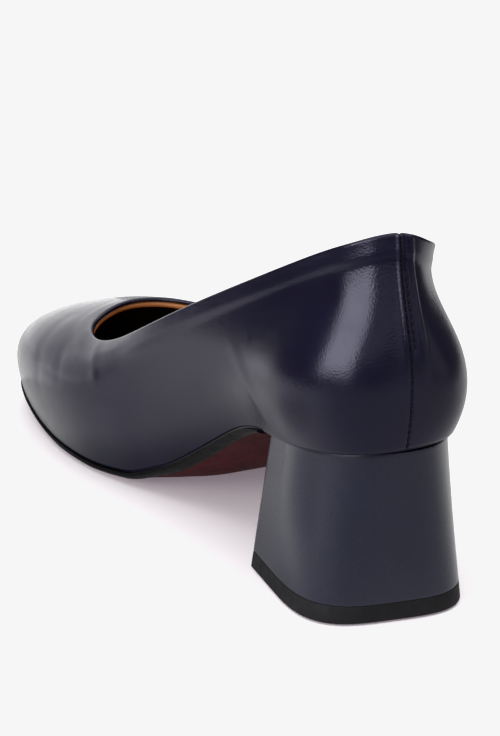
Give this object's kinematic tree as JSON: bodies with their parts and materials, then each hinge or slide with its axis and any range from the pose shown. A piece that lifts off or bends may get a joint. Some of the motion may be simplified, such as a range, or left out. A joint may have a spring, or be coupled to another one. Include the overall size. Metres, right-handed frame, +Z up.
{
  "type": "heeled shoe",
  "caption": "Closed court shoe with a low-cut throat, softly pointed toe, arched thin sole and a flared block heel; stands empty on its sole.",
  "frame": {"origin": "centre of the shoe's box in plan, on the floor it stands on", "axes": "+X from heel to toe, +Y to the inner (medial) side of the right foot, +Z up"},
  "size_m": [0.2438, 0.0762, 0.1099],
  "materials": {
    "upper_leather": "smooth navy leather with a soft gloss",
    "insole_leather": "matt tan lining leather",
    "outsole_compound": "matt, black edge and dark red underside",
    "heel_cover": "satin navy cover",
    "top_piece_rubber": "matt black"
  },
  "bodies": {
    "root": {"upper": "upper_leather", "insole": "insole_leather", "outsole": "outsole_compound", "heel": "heel_cover", "top_piece": "top_piece_rubber"}
  },
  "joints": []
}
